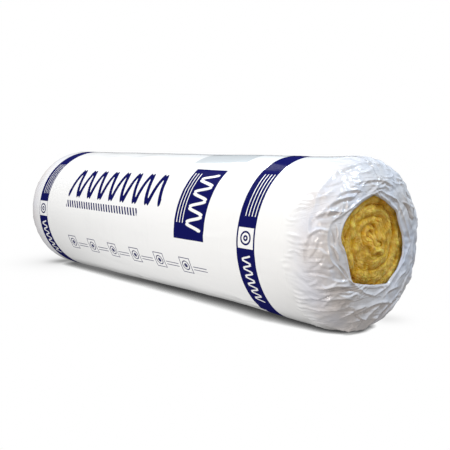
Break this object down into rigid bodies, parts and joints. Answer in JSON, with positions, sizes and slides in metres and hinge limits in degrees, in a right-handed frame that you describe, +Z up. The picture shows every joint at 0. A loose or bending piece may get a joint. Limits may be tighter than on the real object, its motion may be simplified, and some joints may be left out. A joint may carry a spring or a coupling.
{
  "type": "insulation roll",
  "caption": "Glass wool insulation mat wound into a long roll and held by a printed white film sleeve, tucked over the ends so that the coiled wool shows.",
  "frame": {"origin": "on the floor under the middle of the roll, which lies on its side", "axes": "+X along the roll's axis towards the open end seen in the picture, +Y across the roll, +Z up"},
  "size_m": [1.2026, 0.3666, 0.3666],
  "materials": {
    "wool": "golden yellow glass wool, matt and fibrous",
    "film": "white polyethylene film, satin, with dark blue printed bands"
  },
  "bodies": {
    "root": {"wool_roll": "wool", "film_wrap": "film"}
  },
  "joints": []
}
